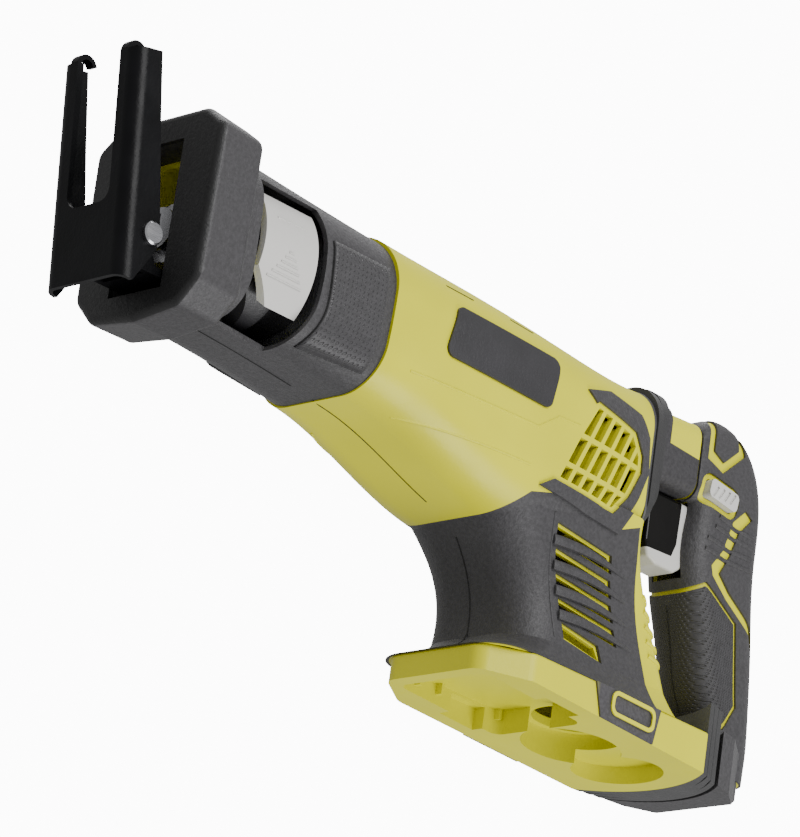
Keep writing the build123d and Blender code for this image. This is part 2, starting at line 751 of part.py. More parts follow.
with BuildPart() as base:
    extrude(base_plan(0), amount=-24)
    fillet(base.faces().sort_by(Axis.Z)[-1].edges(), 1.5)
    add(under_base.part, mode=Mode.INTERSECT)
    # shallow tray, round post hole and rear dish, all open below
    with BuildSketch(level_plane(BASE_TOP - 4)):
        with Locations((58, 0)):
            RectangleRounded(64, 52, 5)
        with Locations((112, 0)):
            Circle(23)
    extrude(amount=-30, mode=Mode.SUBTRACT)
    with BuildSketch(level_plane(BASE_TOP + 1)):
        with Locations((112, 0)):
            Circle(19.5)
    extrude(amount=-12, mode=Mode.SUBTRACT)
    with BuildSketch(level_plane(BASE_TOP - 11)):
        with Locations((144, 0)):
            Ellipse(17, 24)
    extrude(amount=-20, mode=Mode.SUBTRACT)
    # latch pockets and ribs of the tray
    for side in (-1, 1):
        with BuildSketch(level_plane(BASE_TOP - 5)):
            with Locations((70, side * 28.5)):
                Rectangle(22, 7)
        extrude(amount=-30, mode=Mode.SUBTRACT)
    with BuildSketch(level_plane(BASE_TOP - 4)):
        for rib in (36, 50, 88):
            for side in (-1, 1):
                with Locations((rib, side * 24.5)):
                    Rectangle(1.8, 4)
    extrude(amount=-5)
publish(base, "battery_base")

with BuildPart() as plaque:
    # soft plaque on the rim's side with a raised frame
    with BuildPart(mode=Mode.PRIVATE) as grown:
        extrude(base_plan(-1.0), amount=-24)
        add(under_base.part, mode=Mode.INTERSECT)
        extrude(base_plan(0.0), amount=-24, mode=Mode.SUBTRACT)
    add(grown.part)
    side_prism([(80, -123.4), (89, -150), (119, -150), (124, -123.4)], 0, 60,
               mode=Mode.INTERSECT)
    with BuildSketch(side_plane(-41.0)) as plate:
        with Locations((105, -130.0)):
            RectangleRounded(29, 11.5, 4, rotation=-2)
            RectangleRounded(25.4, 7.9, 2.6, rotation=-2, mode=Mode.SUBTRACT)
    extrude(plate.sketch, amount=1.3)
    split(bisect_by=Plane.XZ, keep=Keep.TOP)
publish_pair(plaque, "base_plaques")

with BuildPart() as contact_block:
    # tower in the neck, with a shelf of contacts over the battery's post
    with BuildSketch(level_plane(-112)):
        with Locations((67, 0)):
            RectangleRounded(38, 26, 3)
    extrude(amount=56)
    with BuildSketch(level_plane(-74)):
        with Locations((88, 0)):
            Rectangle(32, 26)
    extrude(amount=12)
publish(contact_block, "contact_block")

with BuildPart() as contact_blades:
    with BuildSketch(level_plane(-88)):
        with Locations((98, 0)):
            with GridLocations(9, 9, 1, 3):
                Rectangle(10, 1.0)
    extrude(amount=14)
publish(contact_blades, "contact_blades")

# ---------------------------------------------------------------- bellows and isolators
BELLOWS_FRONT = 121.0
BELLOWS_REAR = 155.0
with BuildPart() as bellows_upper:
    # soft sleeve between the housing and the top of the handle, with one round lip
    barrel_loft([(BELLOWS_FRONT, 20.5, 25.5, -9.0, 9, 7), (BELLOWS_REAR, 17.0, 29.0, -7.5, 9, 7)])
    extrude(barrel_section(BELLOWS_FRONT + 2.2, 23.5, 28.2, -11.5, 11, 9), amount=4.2)
    barrel_loft([(BELLOWS_FRONT, 17.5, 22.5, -6.0, 7, 5), (BELLOWS_REAR, 14.5, 26.0, -4.5, 7, 5)],
                mode=Mode.SUBTRACT)
    # relief over the trigger
    with BuildSketch(level_plane(-8.2)):
        with Locations((146, 0)):
            Rectangle(28, 22)
    extrude(amount=-6, mode=Mode.SUBTRACT)
publish(bellows_upper, "bellows_upper")


def rear_plan(front, bulge, half, rear, rear_bulge, rear_half, shoulder=0.0):
    """Crescent in plan between two rearward arcs, with a shoulder beside the first."""
    with BuildSketch(level_plane(-150)) as outline:
        with BuildLine():
            ThreePointArc((front, -half), (front + bulge, 0), (front, half))
            Polyline((front, half), (front + shoulder + 0.1, half - shoulder / 4), (rear, rear_half))
            ThreePointArc((rear, rear_half), (rear + rear_bulge, 0), (rear, -rear_half))
            Polyline((rear, -rear_half), (front + shoulder + 0.1, -half + shoulder / 4),
                     (front, -half))
        make_face()
    return outline.sketch


def rear_band(front, half, rear, rear_half, top):
    """Band of the lower bellows: a crescent from the underside to its top."""
    with BuildPart() as band:
        extrude(rear_plan(front, REAR_BULGE, half, rear, REAR_BULGE, rear_half), amount=150 + top)
        add(under_base.part, mode=Mode.INTERSECT)
    return band.part


with BuildPart() as bellows_lower:
    for lip in range(3):
        start = 158.2 + 5.0 * lip
        half = 39.2 - 1.9 * lip
        add(rear_band(start, half, start + 3.4, half - 0.6, -109.0))
        if lip < 2:
            add(rear_band(start + 3.0, half - 3.0, start + 5.4, half - 3.8, -112.0))
    add(base.part, mode=Mode.SUBTRACT)
publish(bellows_lower, "bellows_lower")

with BuildPart() as isolator:
    # rubber blocks that carry the handle's two tongues
    with BuildSketch(cross_plane(112)):
        with Locations((0, ISOLATOR_Z)):
            Rectangle(ISOLATOR_SIDE, ISOLATOR_SIDE)
            Rectangle(13, 13, mode=Mode.SUBTRACT)
    extrude(amount=12)
publish(isolator, "isolator_block")


# ---------------------------------------------------------------- handle
HANDLE_SKIN = 1.2
# Stations down the handle: inner point and outer point in the side view, half width, radius
HANDLE_STATIONS = [
    ((157, -8.5), (157, 28.0), 16.5, 8),
    ((160, -9.5), (183, 33.0), 17.5, 9),
    ((160, -14), (203, 14), 17.5, 11),
    ((158.5, -30), (208, -24), 17.5, 12),
    ((162, -50), (210.5, -48), 17.5, 13),
    ((169, -72), (215.0, -71), 17.0, 14),
    ((175.5, -93), (218.0, -94), 16.5, 14),
    ((182.0, -104), (218.0, -105), 16.8, 13),
    ((187.5, -114), (217.0, -115), 17.5, 12),
    ((189.5, -130), (213, -131), 19.5, 10),
]


def handle_section(inner, outer, half_width, radius, inset):
    """Rounded rectangle that stands across the handle between two points of its side view."""
    dx = outer[0] - inner[0]
    dz = outer[1] - inner[1]
    across = Plane(origin=((inner[0] + outer[0]) / 2 + ORIGIN_X, 0, AXIS_Z + (inner[1] + outer[1]) / 2),
                   x_dir=(dx, 0, dz), z_dir=(dz, 0, -dx))
    with BuildSketch(across) as outline:
        RectangleRounded(math.hypot(dx, dz) - 2 * inset, 2 * (half_width - inset), radius - inset)
    return outline.sketch


def handle_solid(inset):
    with BuildPart() as solid:
        loft([handle_section(*station, inset) for station in HANDLE_STATIONS])
        extrude(rear_plan(174.4 + inset, REAR_BULGE, 34.4 - inset, 203 - inset, 12, 19 - inset, 11),
                amount=150 - 117 - inset)
        side_prism([(150, -150), (150, -141.5 + inset), (198, -143.6 + inset),
                    (212, -136 + inset), (230, -118), (230, -160)], 60, 120, mode=Mode.SUBTRACT)
    return solid.part



HANDLE_INNER = 3.6
# Side views of what interrupts the soft skin
PALM = [(150, -57), (170, -44.5), (193, -57.5), (200.5, -96), (193, -109), (165, -110)]
SWOOSH = [(191, -3), (183, -11), (178, -27), (171.5, -36), (173, -40.5), (184, -49), (203, -60),
          (206, -66), (209, -64), (206, -57), (186, -45), (178, -38), (183.5, -28), (188, -15),
          (196, -6)]
TOP_WINDOW = [(161, 13), (172, 9), (186, 22), (184, 40), (161, 40)]
TOP_INSET = [(165, 18), (172, 14.5), (181, 23), (179, 40), (165, 40)]
LOCK_X = 172.0
LOCK_Z = -2.0
LOCK_LENGTH = 20.0
LOCK_HEIGHT = 9.0
LOCK_TURN = -8.0
TRIGGER_HALF = 8.2
SWITCH_FRONT = 176.0
STEM_RADIUS = 3.0

handle_outer = handle_solid(0)
handle_shell_solid = handle_solid(HANDLE_SKIN)


def lock_prism(grow, y, depth, mode=Mode.ADD):
    """Rounded bar of the lock button's section, along the tool's width."""
    with BuildSketch(side_plane(y)) as outline:
        with Locations((LOCK_X, LOCK_Z)):
            RectangleRounded(LOCK_LENGTH + 2 * grow, LOCK_HEIGHT + 2 * grow, 2.5 + grow,
                             rotation=LOCK_TURN)
    extrude(outline.sketch, amount=depth, mode=mode)


with BuildPart() as trigger_gap:
    with BuildSketch(side_plane(TRIGGER_HALF + 0.5)):
        with Locations((160, -26)):
            RectangleRounded(32, 37, 3)
    extrude(amount=2 * TRIGGER_HALF + 1)

with BuildPart() as handle_shell:
    add(handle_shell_solid)
    add(handle_solid(HANDLE_INNER), mode=Mode.SUBTRACT)
    add(trigger_gap.part, mode=Mode.SUBTRACT)
    lock_prism(0.4, 40, 80, mode=Mode.SUBTRACT)
    with BuildSketch(cross_plane(150)):
        with Locations((0, 11)):
            Rectangle(15.4, 15.4)
    extrude(amount=14, mode=Mode.SUBTRACT)
publish_halves(handle_shell, "handle_shell")

with BuildPart() as handle_skin:
    add(handle_outer)
    add(handle_shell_solid, mode=Mode.SUBTRACT)
    add(trigger_gap.part, mode=Mode.SUBTRACT)
    for outline in (PALM, SWOOSH, TOP_WINDOW):
        side_prism(outline, 60, 120, mode=Mode.SUBTRACT)
    lock_prism(3.2, 40, 80, mode=Mode.SUBTRACT)
    with BuildSketch(cross_plane(150)):
        with Locations((0, 11)):
            Rectangle(15.4, 15.4)
    extrude(amount=14, mode=Mode.SUBTRACT)
publish_halves(handle_skin, "handle_skin")

with BuildPart() as palm_panel:
    # dimpled panel under the palm, inside its bright outline
    add(handle_outer)
    add(handle_shell_solid, mode=Mode.SUBTRACT)
    with BuildSketch(side_plane(60)):
        with BuildLine():
            Polyline(*PALM, close=True)
        make_face()
        offset(amount=-1.9, kind=Kind.INTERSECTION)
    extrude(amount=120, mode=Mode.INTERSECT)
    add(trigger_gap.part, mode=Mode.SUBTRACT)
publish(palm_panel, "palm_panel")

with BuildPart() as top_inset:
    add(handle_outer)
    add(handle_shell_solid, mode=Mode.SUBTRACT)
    side_prism(TOP_INSET, 60, 120, mode=Mode.INTERSECT)
publish(top_inset, "handle_top_inset")

with BuildPart() as tongue:
    # bar from the handle into the isolator block, inside the upper bellows
    with BuildSketch(cross_plane(114)):
        with Locations((0, ISOLATOR_Z)):
            Rectangle(12.4, 12.4)
    extrude(amount=47)
    with BuildSketch(cross_plane(160.8)):
        with Locations((0, 15)):
            Rectangle(24, 13)
    extrude(amount=4)
publish(tongue, "handle_tongue")

with BuildPart() as lock_button:
    # cross bolt with four ribs on each end
    lock_prism(0, 20, 36 + LOCK_TRAVEL)
    for rib in range(4):
        for start in (20.0, -19.2):
            with BuildSketch(side_plane(start)) as groove:
                with Locations((LOCK_X - 6 + 4 * rib, LOCK_Z)):
                    Rectangle(1.4, 6.4, rotation=LOCK_TURN - 24)
            extrude(groove.sketch, amount=0.8, mode=Mode.SUBTRACT)
publish(lock_button, "lock_button")

# ---------------------------------------------------------------- trigger and switch
TRIGGER_SIDE = [(138.5, -9.2), (135, -16), (135, -34), (138, -41), (144, -43.5), (157, -43.5),
                (164.5, -38), (166, -28), (165, -9.2)]
with BuildPart() as trigger_whole:
    side_prism(TRIGGER_SIDE, TRIGGER_HALF, 2 * TRIGGER_HALF)
    fillet(trigger_whole.edges().filter_by(Axis.Y), 2)
    rims = trigger_whole.faces().sort_by(Axis.Y)
    fillet(rims[0].edges() + rims[-1].edges(), 1.8)
with BuildPart() as pad_zone:
    side_prism([(130, 0), (157, 0), (156, -30), (153.5, -36.5), (130, -37.5)], 30, 60)
with BuildPart() as trigger_pad:
    add(trigger_whole.part)
    add(pad_zone.part, mode=Mode.INTERSECT)
publish(trigger_pad, "trigger_pad")
with BuildPart() as trigger_body:
    add(trigger_whole.part)
    add(pad_zone.part, mode=Mode.SUBTRACT)
    with BuildSketch(cross_plane(164)):
        with Locations((0, -28)):
            Circle(STEM_RADIUS)
    extrude(amount=15)
publish(trigger_body, "trigger_body")

with BuildPart() as switch_body:
    with BuildSketch(cross_plane(SWITCH_FRONT)):
        with Locations((0, -30)):
            RectangleRounded(18, 32, 2)
    extrude(amount=24)
    with BuildSketch(cross_plane(SWITCH_FRONT)):
        with Locations((0, -28)):
            Circle(STEM_RADIUS + RUNNING)
    extrude(amount=14, mode=Mode.SUBTRACT)
publish(switch_body, "switch_body")

# ---------------------------------------------------------------- case screws
with BuildPart() as screws:
    # heads of the case screws, seated in the right-hand shell
    for x, z, head_y in SCREW_PLACES:
        with BuildSketch(side_plane(head_y)) as head:
            with Locations((x, z)):
                Circle(HEAD_RADIUS)
        extrude(head.sketch, amount=SCREW_HEAD)
        with BuildSketch(side_plane(head_y - SCREW_HEAD)) as shank:
            with Locations((x, z)):
                Circle(SHANK_RADIUS)
        extrude(shank.sketch, amount=SCREW_SHANK)
        with BuildSketch(side_plane(head_y)) as socket:
            with Locations((x, z)):
                RegularPolygon(1.5, 6)
        extrude(socket.sketch, amount=1.0, mode=Mode.SUBTRACT)
publish(screws, "case_screws")
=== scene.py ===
import json
import math

import bpy
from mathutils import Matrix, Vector
from mathutils.bvhtree import BVHTree


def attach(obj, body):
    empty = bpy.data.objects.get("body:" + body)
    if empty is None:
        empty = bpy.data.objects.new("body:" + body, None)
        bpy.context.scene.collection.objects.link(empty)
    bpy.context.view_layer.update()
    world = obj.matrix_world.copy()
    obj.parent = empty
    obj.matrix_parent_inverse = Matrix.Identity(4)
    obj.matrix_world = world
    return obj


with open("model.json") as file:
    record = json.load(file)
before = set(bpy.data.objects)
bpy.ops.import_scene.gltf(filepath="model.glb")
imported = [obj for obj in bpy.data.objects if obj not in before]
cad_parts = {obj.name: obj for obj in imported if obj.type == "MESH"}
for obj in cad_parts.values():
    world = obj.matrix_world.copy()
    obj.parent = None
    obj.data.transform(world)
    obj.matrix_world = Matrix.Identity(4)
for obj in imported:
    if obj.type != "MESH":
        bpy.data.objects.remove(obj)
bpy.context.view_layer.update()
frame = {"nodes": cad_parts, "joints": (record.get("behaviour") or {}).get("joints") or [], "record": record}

bl_info = {
    "name": "Reciprocating saw finishes",
    "version": (1, 0, 0),
    "blender": (4, 5, 0),
    "location": "3D View > Sidebar > Saw",
    "description": "Finishes and small mouldings of a cordless reciprocating saw",
    "category": "Object",
}

JOINTS = {joint["name"]: joint for joint in frame["joints"]}
# The barrel's axis, from which the small mouldings are set out
AXIS = Vector(JOINTS["armature_spin"]["pos_m"])
LEFT = -1
RIGHT = 1
# Where the painted shade on the guard's face, the plaque's bright rim and the lever's pale plate begin (m)
GUARD_PAINTED_SHADE = 0.1785
PLAQUE_RIM = 0.0416
LEVER_RING = 0.0322


def at(x, y, z):
    """Point given in millimetres from the barrel's axis, in the frame's metres."""
    return AXIS + Vector((x, y, z)) / 1000


# ------------------------------------------------------------------ sizes and colours
def colour(name, description, default):
    return bpy.props.FloatVectorProperty(
        name=name, description=description, default=default, subtype="COLOR", size=3, min=0, max=1)


def length(name, description, default):
    return bpy.props.FloatProperty(
        name=name, description=description, default=default, unit="LENGTH", subtype="DISTANCE",
        min=0, precision=5)


class SawColours(bpy.types.PropertyGroup):
    housing: colour("Housing", "Bright moulded housing", (0.72, 0.692, 0.011))
    overmould: colour("Overmould", "Soft grey grips and boot", (0.045, 0.043, 0.0465))
    plate: colour("Plate", "Dark plain plastic", (0.026, 0.025, 0.028))
    lever: colour("Lever", "Pale lever and lock button", (0.62, 0.61, 0.585))
    trigger: colour("Trigger", "Glossy trigger pad", (0.006, 0.0055, 0.005))
    shoe: colour("Shoe", "Coated steel shoe", (0.004, 0.004, 0.005))
    rubber: colour("Rubber", "Bellows", (0.020, 0.0195, 0.0205))


class SawSizes(bpy.types.PropertyGroup):
    grain: length("Grain", "Size of the moulded grain", 0.0008)
    dimple: length("Dimple", "Spacing of the dimples on the grip panels", 0.0022)
    seam: length("Seam", "Radius of the dark line in a joint between mouldings", 0.00028)
    rib: length("Rib", "Radius of the ribs on the grips", 0.0013)


class SawStage(bpy.types.PropertyGroup):
    azimuth: bpy.props.FloatProperty(
        name="Azimuth", description="Camera's direction round the saw",
        default=math.radians(-43.7), subtype="ANGLE", unit="ROTATION")
    elevation: bpy.props.FloatProperty(
        name="Elevation", description="Camera's height angle",
        default=math.radians(-19.72), subtype="ANGLE", unit="ROTATION")
    roll: bpy.props.FloatProperty(
        name="Roll", description="Camera's turn about its own axis",
        default=math.radians(8.21), subtype="ANGLE", unit="ROTATION")
    distance: length("Distance", "From the camera to the saw", 2.1055)
    lens: bpy.props.FloatProperty(
        name="Lens", description="Focal length for a 36 mm sensor", default=207.3, unit="CAMERA")
    floor: length("Floor", "Width of the floor", 6.0)
    sky: bpy.props.FloatProperty(
        name="Sky", description="Strength of the even white light all round", default=0.5)


# ------------------------------------------------------------------ shader effects
def add_node(tree, kind, inputs=None, **settings):
    made = tree.nodes.new(kind)
    for key, value in settings.items():
        setattr(made, key, value)
    for socket, value in (inputs or {}).items():
        if isinstance(value, bpy.types.NodeSocket):
            tree.links.new(value, made.inputs[socket])
        else:
            made.inputs[socket].default_value = value
    return made


def effect(name, inputs, outputs, build):
    """One shader node group: inputs are {name: (kind, default)}, outputs {name: kind}."""
    if name in bpy.data.node_groups:
        return bpy.data.node_groups[name]
    tree = bpy.data.node_groups.new(name, "ShaderNodeTree")
    for key, (kind, default) in inputs.items():
        socket = tree.interface.new_socket(key, in_out="INPUT", socket_type=kind)
        socket.default_value = default
    for key, kind in outputs.items():
        tree.interface.new_socket(key, in_out="OUTPUT", socket_type=kind)
    given = tree.nodes.new("NodeGroupInput")
    result = tree.nodes.new("NodeGroupOutput")
    for key, socket in build(tree, given.outputs).items():
        tree.links.new(socket, result.inputs[key])
    return tree


FLOAT = "NodeSocketFloat"
VECTOR = "NodeSocketVector"
COLOR = "NodeSocketColor"


def inverse(tree, socket):
    return add_node(tree, "ShaderNodeMath", {0: 1.0, 1: socket}, operation="DIVIDE").outputs[0]


def object_noise(tree, scale, detail=2.0, stretch=None):
    """Noise on the object's own coordinates, stretched along an axis where asked."""
    place = add_node(tree, "ShaderNodeTexCoord").outputs["Object"]
    if stretch:
        place = add_node(tree, "ShaderNodeMapping", {"Vector": place, "Scale": stretch}).outputs[0]
    return add_node(tree, "ShaderNodeTexNoise", {"Vector": place, "Scale": scale, "Detail": detail})


def build_grain(tree, given):
    fine = object_noise(tree, inverse(tree, given["Size"]), 3.0)
    wide = add_node(tree, "ShaderNodeMath", {0: given["Size"], 1: 3.1}, operation="MULTIPLY")
    broad = object_noise(tree, inverse(tree, wide.outputs[0]), 1.0)
    both = add_node(tree, "ShaderNodeMath", {0: fine.outputs[0], 1: broad.outputs[0]},
                    operation="ADD")
    return {"Height": both.outputs[0]}


def build_dimples(tree, given):
    """Two crossed waves over the side view and the front view alike."""
    place = add_node(tree, "ShaderNodeTexCoord").outputs["Object"]
    pitch = add_node(tree, "ShaderNodeMath", {0: 2 * math.pi, 1: given["Spacing"]},
                     operation="DIVIDE").outputs[0]
    waves = []
    for slope in (1, -1):
        along = add_node(tree, "ShaderNodeVectorMath", {0: place, 1: (0.7, 0.7, 0.7 * slope)},
                         operation="DOT_PRODUCT").outputs["Value"]
        turns = add_node(tree, "ShaderNodeMath", {0: along, 1: pitch}, operation="MULTIPLY")
        waves.append(add_node(tree, "ShaderNodeMath", {0: turns.outputs[0]},
                              operation="SINE").outputs[0])
    both = add_node(tree, "ShaderNodeMath", {0: waves[0], 1: waves[1]}, operation="MULTIPLY")
    bowl = add_node(tree, "ShaderNodeMapRange",
                    {"Value": both.outputs[0], "From Min": 0.15, "From Max": 0.75,
                     "To Min": 1.0, "To Max": 0.0})
    return {"Height": bowl.outputs[0]}


def build_region(tree, given):
    """One where the place lies further from a centre than a radius, along chosen axes."""
    place = add_node(tree, "ShaderNodeTexCoord").outputs["Object"]
    away = add_node(tree, "ShaderNodeVectorMath", {0: place, 1: given["Centre"]},
                    operation="SUBTRACT").outputs[0]
    kept = add_node(tree, "ShaderNodeVectorMath", {0: away, 1: given["Axes"]},
                    operation="MULTIPLY").outputs[0]
    far = add_node(tree, "ShaderNodeVectorMath", {0: kept}, operation="LENGTH").outputs["Value"]
    over = add_node(tree, "ShaderNodeMath", {0: far, 1: given["Radius"]},
                    operation="SUBTRACT").outputs[0]
    mask = add_node(tree, "ShaderNodeMapRange",
                    {"Value": over, "From Min": -0.0001, "From Max": 0.0001})
    return {"Mask": mask.outputs[0]}


def build_tone(tree, given):
    patches = object_noise(tree, inverse(tree, given["Patch"]), 2.0)
    spread = add_node(tree, "ShaderNodeMapRange",
                      {"Value": patches.outputs[0], "From Min": 0.35, "From Max": 0.65})
    mixed = add_node(tree, "ShaderNodeMix", {"Factor": spread.outputs[0]}, data_type="RGBA")
    tree.links.new(given["Colour"], mixed.inputs[6])
    tree.links.new(given["Other"], mixed.inputs[7])
    return {"Colour": mixed.outputs[2]}


def build_handling(tree, given):
    marks = object_noise(tree, inverse(tree, given["Patch"]), 5.0)
    rough = add_node(tree, "ShaderNodeMapRange",
                     {"Value": marks.outputs[0], "From Min": 0.3, "From Max": 0.7,
                      "To Min": given["Smooth"], "To Max": given["Dull"]})
    return {"Roughness": rough.outputs[0]}


def build_brushing(tree, given):
    lines = object_noise(tree, inverse(tree, given["Size"]), 4.0, stretch=(0.04, 1.0, 1.0))
    rough = add_node(tree, "ShaderNodeMapRange",
                     {"Value": lines.outputs[0], "From Min": 0.3, "From Max": 0.7,
                      "To Min": given["Smooth"], "To Max": given["Dull"]})
    return {"Height": lines.outputs[0], "Roughness": rough.outputs[0]}


def effects():
    """All shared effects, each built once."""
    return {
        "grain": effect("Moulded grain", {"Size": (FLOAT, 0.0005)}, {"Height": FLOAT},
                        build_grain),
        "dimples": effect("Dimpled grip", {"Spacing": (FLOAT, 0.0016)}, {"Height": FLOAT},
                          build_dimples),
        "tone": effect("Uneven tone", {"Colour": (COLOR, (0.5, 0.5, 0.5, 1)),
                                       "Other": (COLOR, (0.4, 0.4, 0.4, 1)),
                                       "Patch": (FLOAT, 0.02)}, {"Colour": COLOR}, build_tone),
        "handling": effect("Handling marks", {"Patch": (FLOAT, 0.008), "Smooth": (FLOAT, 0.3),
                                              "Dull": (FLOAT, 0.45)}, {"Roughness": FLOAT},
                           build_handling),
        "region": effect("Region", {"Centre": (VECTOR, (0, 0, 0)), "Axes": (VECTOR, (1, 0, 0)),
                                    "Radius": (FLOAT, 0.0)}, {"Mask": FLOAT}, build_region),
        "brushing": effect("Brushed lines", {"Size": (FLOAT, 0.0003), "Smooth": (FLOAT, 0.2),
                                             "Dull": (FLOAT, 0.4)},
                           {"Height": FLOAT, "Roughness": FLOAT}, build_brushing),
    }


def use(tree, kit, name, **values):
    made = add_node(tree, "ShaderNodeGroup")
    made.node_tree = kit[name]
    for key, value in values.items():
        made.inputs[key].default_value = value
    return made.outputs


def finish_of(name, base, other, smooth, dull, bump, metal=0.0, coat=0.0, patch=0.02,
              texture="grain", size=0.0005, depth=0.0004, specular=0.5, sheen=0.0,
              second=None, regions=()):
    """Material of one finish: uneven tone, handling marks and a fine surface texture.

    A second colour may fill the common part of some regions: everything further from the
    barrel's axis, the floor and the middle plane than a radius in metres, along some axes.
    """
    if name in bpy.data.materials:
        return bpy.data.materials[name]
    kit = effects()
    material = bpy.data.materials.new(name)
    material.use_nodes = True
    tree = material.node_tree
    shader = tree.nodes["Principled BSDF"]
    tone = use(tree, kit, "tone", Colour=(*base, 1), Other=(*other, 1), Patch=patch)
    tint = tone["Colour"]
    # The second colour is a real second colour on the sleeve, plaque and lever, and painted shade on the
    # guard's face
    if second:
        mask = 1.0
        for centre, axes, radius in regions:
            part = use(tree, kit, "region", Centre=centre, Axes=axes, Radius=radius)["Mask"]
            mask = add_node(tree, "ShaderNodeMath", {0: part, 1: mask},
                            operation="MULTIPLY").outputs[0]
        mixed = add_node(tree, "ShaderNodeMix", {"Factor": mask, 6: tint, 7: (*second, 1)},
                         data_type="RGBA")
        tint = mixed.outputs[2]
    tree.links.new(tint, shader.inputs["Base Color"])
    if texture == "brushing":
        lines = use(tree, kit, "brushing", Size=size, Smooth=smooth, Dull=dull)
        tree.links.new(lines["Roughness"], shader.inputs["Roughness"])
        height = lines["Height"]
    else:
        marks = use(tree, kit, "handling", Smooth=smooth, Dull=dull, Patch=patch * 0.6)
        tree.links.new(marks["Roughness"], shader.inputs["Roughness"])
        key = "Spacing" if texture == "dimples" else "Size"
        height = use(tree, kit, texture, **{key: size})["Height"]
    relief = add_node(tree, "ShaderNodeBump",
                      {"Height": height, "Strength": bump, "Distance": depth})
    tree.links.new(relief.outputs[0], shader.inputs["Normal"])
    shader.inputs["Metallic"].default_value = metal
    shader.inputs["Coat Weight"].default_value = coat
    shader.inputs["Coat Roughness"].default_value = 0.12
    shader.inputs["Specular IOR Level"].default_value = specular
    if sheen:
        shader.inputs["Sheen Weight"].default_value = sheen
        shader.inputs["Sheen Roughness"].default_value = 0.5
    return material


def darker(values, by):
    return tuple(max(0.0, v * by) for v in values)


def finishes():
    """Every finish of the saw, by name."""
    c = bpy.context.scene.saw_colours
    s = bpy.context.scene.saw_sizes
    origin = (0, 0, 0)
    return {
        "lime_plastic": finish_of("Lime moulding", c.housing, darker(c.housing, 0.93), 0.30,
                                  0.42, 0.12, size=0.0011, patch=0.05, specular=0.35),
        "grey_overmould": finish_of("Grey overmould", c.overmould, darker(c.overmould, 0.66),
                                    0.48, 0.62, 0.6, size=s.grain, patch=0.0016, sheen=0.08),
        "grip_dimples": finish_of("Dimpled overmould", darker(c.overmould, 0.85),
                                  darker(c.overmould, 0.6), 0.46, 0.6, 0.9, patch=0.002,
                                  texture="dimples", size=s.dimple, depth=0.0006, sheen=0.08),
        "boot_dimples": finish_of("Dimpled boot", darker(c.overmould, 0.95),
                                  darker(c.overmould, 0.7), 0.44, 0.58, 0.8, patch=0.002,
                                  texture="dimples", size=1.5 * s.dimple, depth=0.0007,
                                  sheen=0.08),
        # The guard's front face is painted near black: painted shade on the same grey moulding as its sides,
        # where little light reaches
        "guard": finish_of("Grey guard with painted shade on its face", c.overmould,
                           darker(c.overmould, 0.7), 0.46, 0.6, 0.5, size=s.grain,
                           patch=0.0016, sheen=0.05, second=(0.004, 0.004, 0.0045),
                           regions=((origin, (1, 0, 0), GUARD_PAINTED_SHADE),)),
        "sleeve": finish_of("Grey sleeve with a bright top", c.overmould,
                            darker(c.overmould, 0.66), 0.48, 0.62, 0.6, size=s.grain,
                            patch=0.0016, second=c.housing,
                            regions=((origin, (0, 0, 1), at(0, 0, 10).z),
                                     (origin, (1, 0, 0), at(131, 0, 0).x))),
        "plaque": finish_of("Plaque with a bright rim", darker(c.overmould, 1.5), c.overmould,
                            0.44, 0.6, 0.5, size=s.grain, patch=0.0016, second=c.housing,
                            regions=((origin, (0, 1, 0), PLAQUE_RIM),)),
        "lever": finish_of("Pale lever on a dark ring", c.plate, darker(c.plate, 0.8), 0.34,
                           0.46, 0.2, size=0.0007, second=c.lever,
                           regions=((AXIS, (0, 1, 1), LEVER_RING),)),
        # The inner nose is the lime moulding made brighter than the housing: painted light, as if light fell
        # into the guard's opening
        "liner": finish_of("Inner nose brightened with painted light", (0.95, 0.92, 0.03), (0.85, 0.83, 0.03), 0.3,
                           0.42, 0.1, size=0.0011, patch=0.05, specular=0.35),
        "dark_plastic": finish_of("Dark moulding", c.plate, darker(c.plate, 0.8), 0.42, 0.56,
                                  0.35, size=0.0006),
        "light_plastic": finish_of("Pale moulding", c.lever, darker(c.lever, 0.94), 0.34, 0.46,
                                   0.2, size=0.0007, coat=0.1),
        "black_gloss": finish_of("Black gloss", c.trigger, darker(c.trigger, 0.7), 0.10, 0.2,
                                 0.08, size=0.002, specular=0.2),
        "shoe_steel": finish_of("Black coated steel", c.shoe, darker(c.shoe, 0.6), 0.3, 0.42,
                                0.2, size=0.0009, specular=0.15),
        "steel": finish_of("Machined steel", (0.56, 0.56, 0.57), (0.42, 0.42, 0.44), 0.2, 0.36,
                           0.2, metal=1.0, texture="brushing", size=0.0004, depth=0.0001),
        "cast_alloy": finish_of("Die cast alloy", (0.55, 0.56, 0.57), (0.44, 0.45, 0.46), 0.4,
                                0.55, 0.4, metal=1.0, size=0.0008),
        "bronze": finish_of("Sintered bronze", (0.55, 0.38, 0.18), (0.42, 0.28, 0.12), 0.35,
                            0.5, 0.4, metal=1.0, size=0.0004),
        "copper": finish_of("Drawn copper", (0.72, 0.32, 0.15), (0.55, 0.22, 0.1), 0.25, 0.4,
                            0.2, metal=1.0, texture="brushing", size=0.0005, depth=0.0001),
        "bellows_rubber": finish_of("Bellows rubber", c.rubber, darker(c.rubber, 0.7), 0.5,
                                    0.66, 0.4, size=0.0006, sheen=0.2),
        "seam": finish_of("Shadowed joint", (0.012, 0.012, 0.012), (0.02, 0.02, 0.02), 0.6,
                          0.8, 0.2, size=0.0005, specular=0.2),
    }


